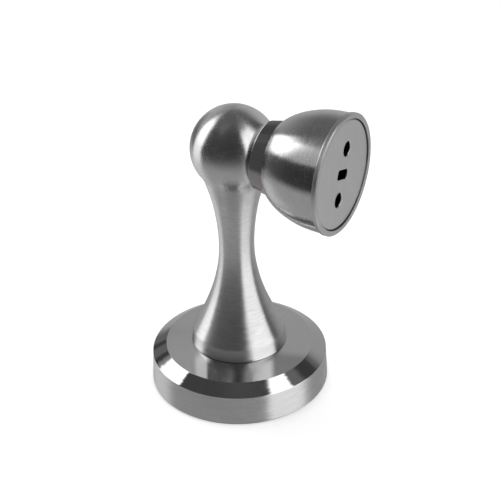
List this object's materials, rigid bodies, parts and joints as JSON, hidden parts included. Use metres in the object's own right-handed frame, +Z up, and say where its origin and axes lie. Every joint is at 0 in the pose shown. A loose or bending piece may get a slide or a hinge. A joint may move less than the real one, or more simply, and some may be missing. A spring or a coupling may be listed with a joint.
{
  "type": "magnetic floor door holder",
  "caption": "Magnetic floor door holder: round bevelled base, hourglass column with ball head, and a bell-shaped door catch with a sprung strike disc held on the ball.",
  "frame": {"origin": "centre of the base's underside, on the floor plane", "axes": "+Z up along the column, +X level along the catch axis from the ball towards the door"},
  "size_m": [0.0577, 0.05, 0.0909],
  "materials": {
    "base_steel": "circular brushed, polished bevel",
    "column_steel": "satin, fine circumferential brushing",
    "cup_steel": "satin polished",
    "plate_steel": "fine matte",
    "strike_chrome": "mirror polished",
    "zinc_steel": "bright zinc plated",
    "black_steel": "black oxide",
    "nickel": "bright nickel plated",
    "sleeve_plastic": "moulded black",
    "bush_plastic": "moulded natural acetal",
    "bumper_rubber": "matte black",
    "spring_steel": "drawn spring wire"
  },
  "bodies": {
    "floor_unit": {"base_flange": "base_steel", "floor_plate": "zinc_steel", "base_grub_screw": "black_steel", "column": "column_steel", "column_bolt": "black_steel", "column_lock_washer": "zinc_steel", "column_flat_washer": "zinc_steel", "magnet_pole_cup": "nickel", "magnet_sleeve": "sleeve_plastic", "magnet": "nickel"},
    "door_unit": {"catch_cup": "cup_steel", "mounting_plate": "plate_steel", "guide_bush": "bush_plastic", "bumper_ring": "bumper_rubber", "spring_seat_washer": "zinc_steel", "buffer_spring": "spring_steel"},
    "strike": {"strike_disc": "strike_chrome", "strike_screw": "zinc_steel", "stop_washer": "zinc_steel"}
  },
  "joints": [
    {"name": "catch_pull_off", "type": "slide", "parent": "floor_unit", "child": "door_unit", "axis": [1, 0, 0], "range_m": [0, 0.06]},
    {"name": "strike_press", "type": "slide", "parent": "door_unit", "child": "strike", "axis": [1, 0, 0], "range_m": [0, 0.003], "stiffness_N_per_m": 370, "springref_m": -0.004, "deforming": ["buffer_spring"]}
  ]
}
